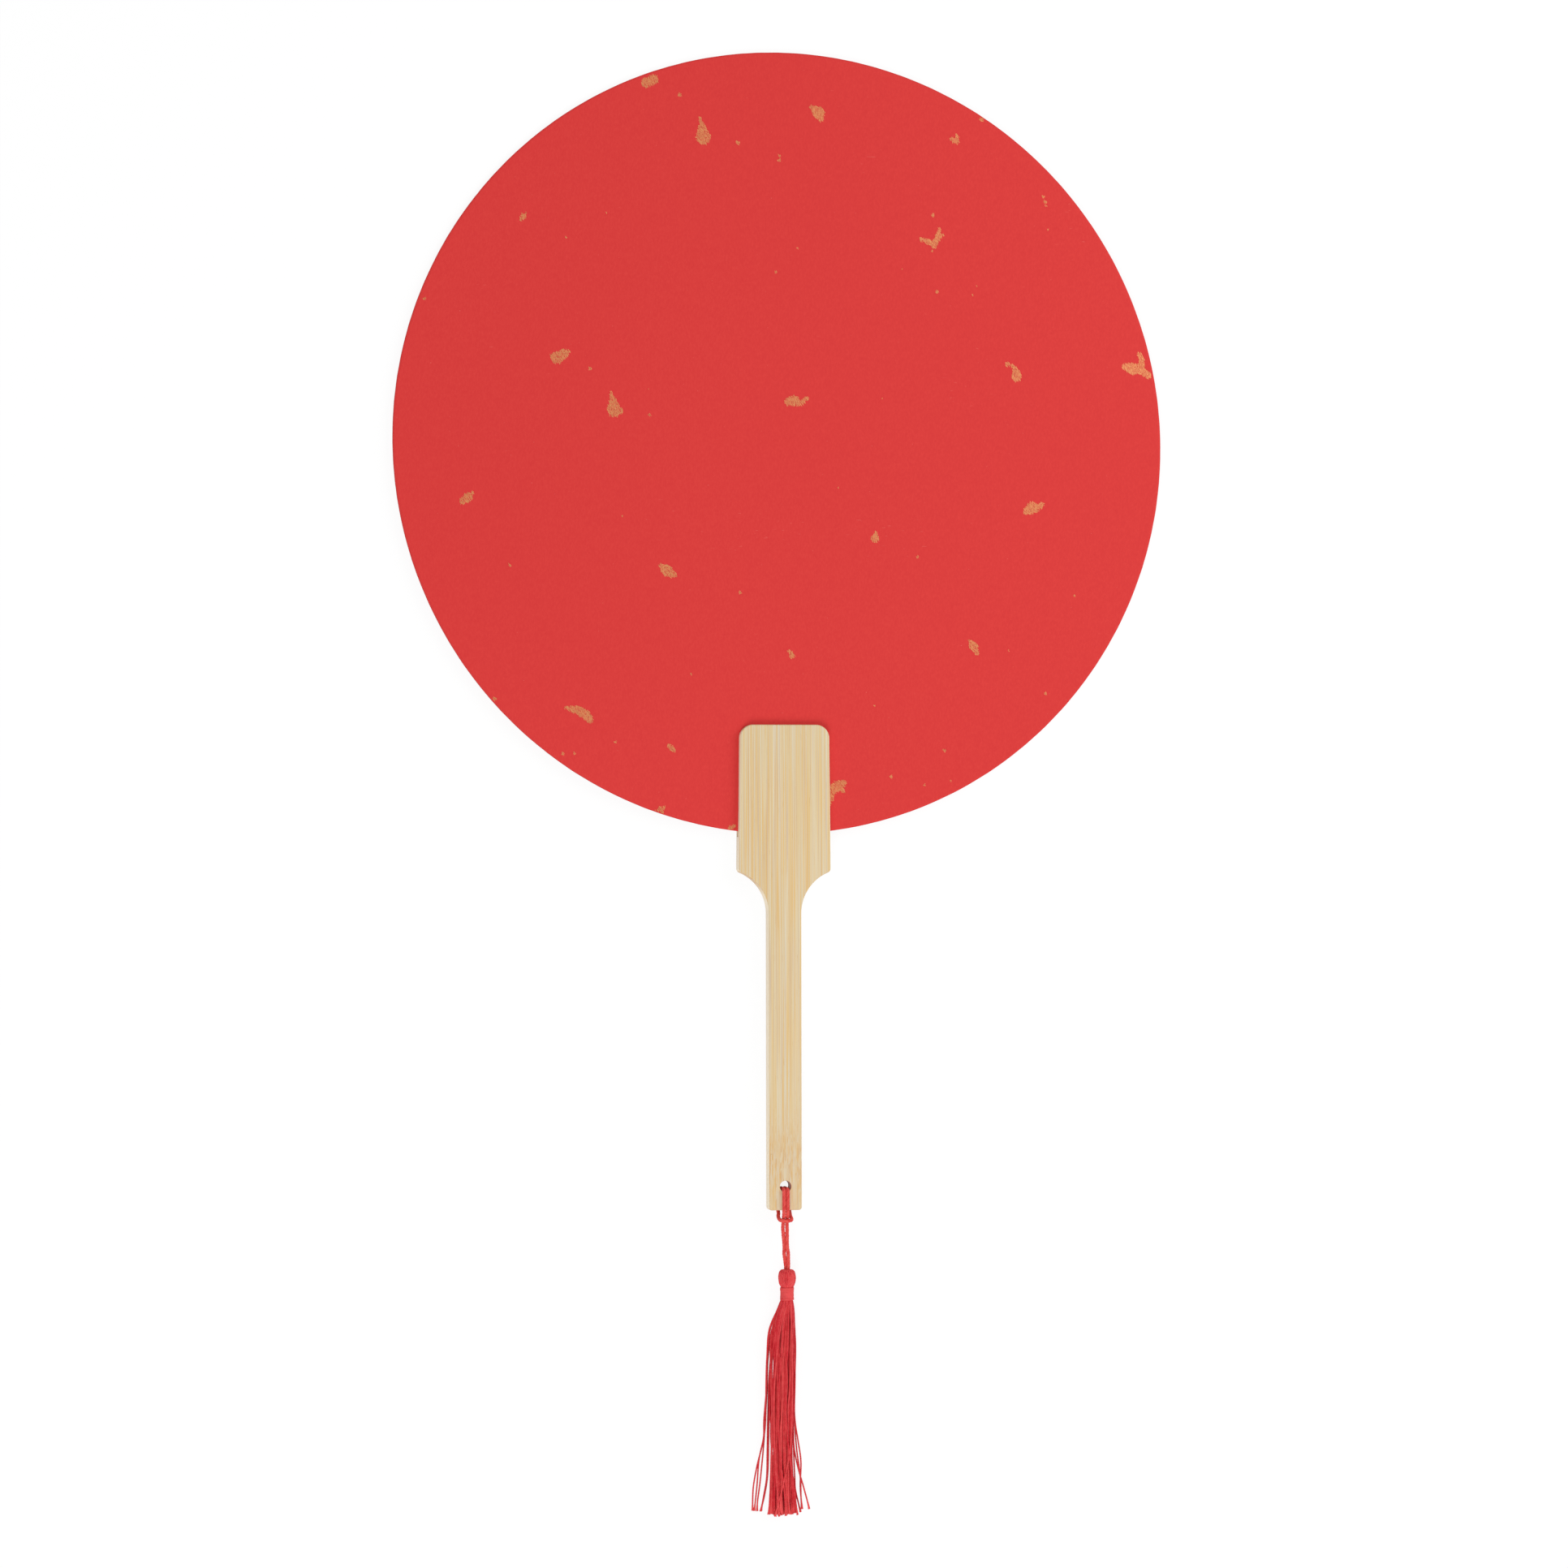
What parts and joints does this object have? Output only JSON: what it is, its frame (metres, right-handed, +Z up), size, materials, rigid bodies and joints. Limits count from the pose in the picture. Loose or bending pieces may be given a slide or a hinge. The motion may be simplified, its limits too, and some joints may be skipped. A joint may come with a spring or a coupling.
{
  "type": "round paddle fan",
  "caption": "Round rigid hand fan: gold-flecked red paper disc held in a slotted bamboo paddle handle, with a red thread tassel hitched through the tail hole.",
  "frame": {"origin": "middle of the base of the disc and handle's box, on the table that the fan lies on, face up", "axes": "+X across the fan, +Y from the handle towards the disc, +Z up, out of the printed face"},
  "size_m": [0.25, 0.4681, 0.0078],
  "materials": {
    "board": "raw cut card edge",
    "red_paper": "matt dyed paper",
    "gold_leaf": "dull beaten leaf",
    "bamboo": "sanded, bare",
    "red_cord": "twisted cotton cord",
    "red_thread": "soft twisted thread"
  },
  "bodies": {
    "fan": {"face_board": "board", "face_paper_front": "red_paper", "face_paper_back": "red_paper", "bamboo_handle": "bamboo", "cord_hitch": "red_cord", "gold_flake_01": "gold_leaf", "gold_flake_02": "gold_leaf", "gold_flake_03": "gold_leaf", "gold_flake_04": "gold_leaf", "gold_flake_05": "gold_leaf", "gold_flake_06": "gold_leaf", "gold_flake_07": "gold_leaf", "gold_flake_08": "gold_leaf", "gold_flake_09": "gold_leaf", "gold_flake_10": "gold_leaf", "gold_flake_11": "gold_leaf", "gold_flake_12": "gold_leaf", "gold_flake_13": "gold_leaf", "gold_flake_14": "gold_leaf", "gold_flake_15": "gold_leaf", "gold_flake_16": "gold_leaf", "gold_flake_17": "gold_leaf", "gold_flake_18": "gold_leaf", "gold_flake_19": "gold_leaf", "gold_flake_20": "gold_leaf", "gold_flake_21": "gold_leaf"},
    "cord": {"cord_strand_left": "red_cord", "cord_strand_right": "red_cord"},
    "head": {"tassel_head": "red_thread", "stopper_knot": "red_cord", "neck_wrap": "red_thread"},
    "skirt": {"tassel_skirt": "red_thread"}
  },
  "joints": [
    {"name": "cord_sway", "type": "hinge", "parent": "fan", "child": "cord", "pos_m": [0, -0.19036, 0.00538], "axis": [0, 0, 1], "range_deg": [-90, 90]},
    {"name": "tassel_lift", "type": "hinge", "parent": "cord", "child": "head", "pos_m": [0.0012, -0.20316, 0.0028], "axis": [1, 0, 0], "range_deg": [-90, 90]},
    {"name": "skirt_swing", "type": "hinge", "parent": "head", "child": "skirt", "pos_m": [0.0012, -0.21569, 0.0028], "axis": [0, 0, 1], "range_deg": [-40, 40]}
  ]
}
